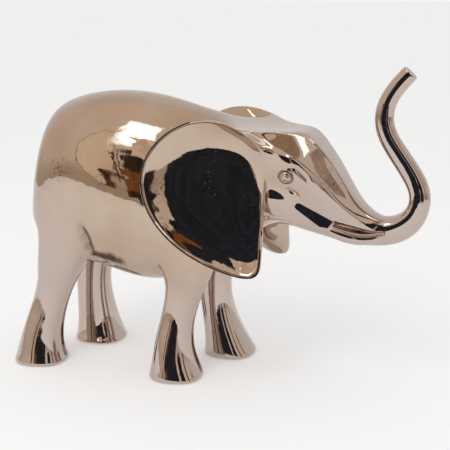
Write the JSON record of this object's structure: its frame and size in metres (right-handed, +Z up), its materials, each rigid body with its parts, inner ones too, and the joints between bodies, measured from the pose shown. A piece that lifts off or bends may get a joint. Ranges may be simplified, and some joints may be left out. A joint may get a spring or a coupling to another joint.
{
  "type": "elephant statue",
  "caption": "Walking elephant figure with a raised trunk, dished ears and short tusks, standing on four flared feet.",
  "frame": {"origin": "middle of the bounding box, on the plane the four feet stand on", "axes": "+X is forward, towards the trunk; +Y is the elephant's left side; +Z is up"},
  "size_m": [0.3616, 0.1318, 0.269],
  "materials": {
    "plating": "mirror-bright rose bronze plating over a hollow casting"
  },
  "bodies": {
    "root": {"elephant": "plating"}
  },
  "joints": []
}
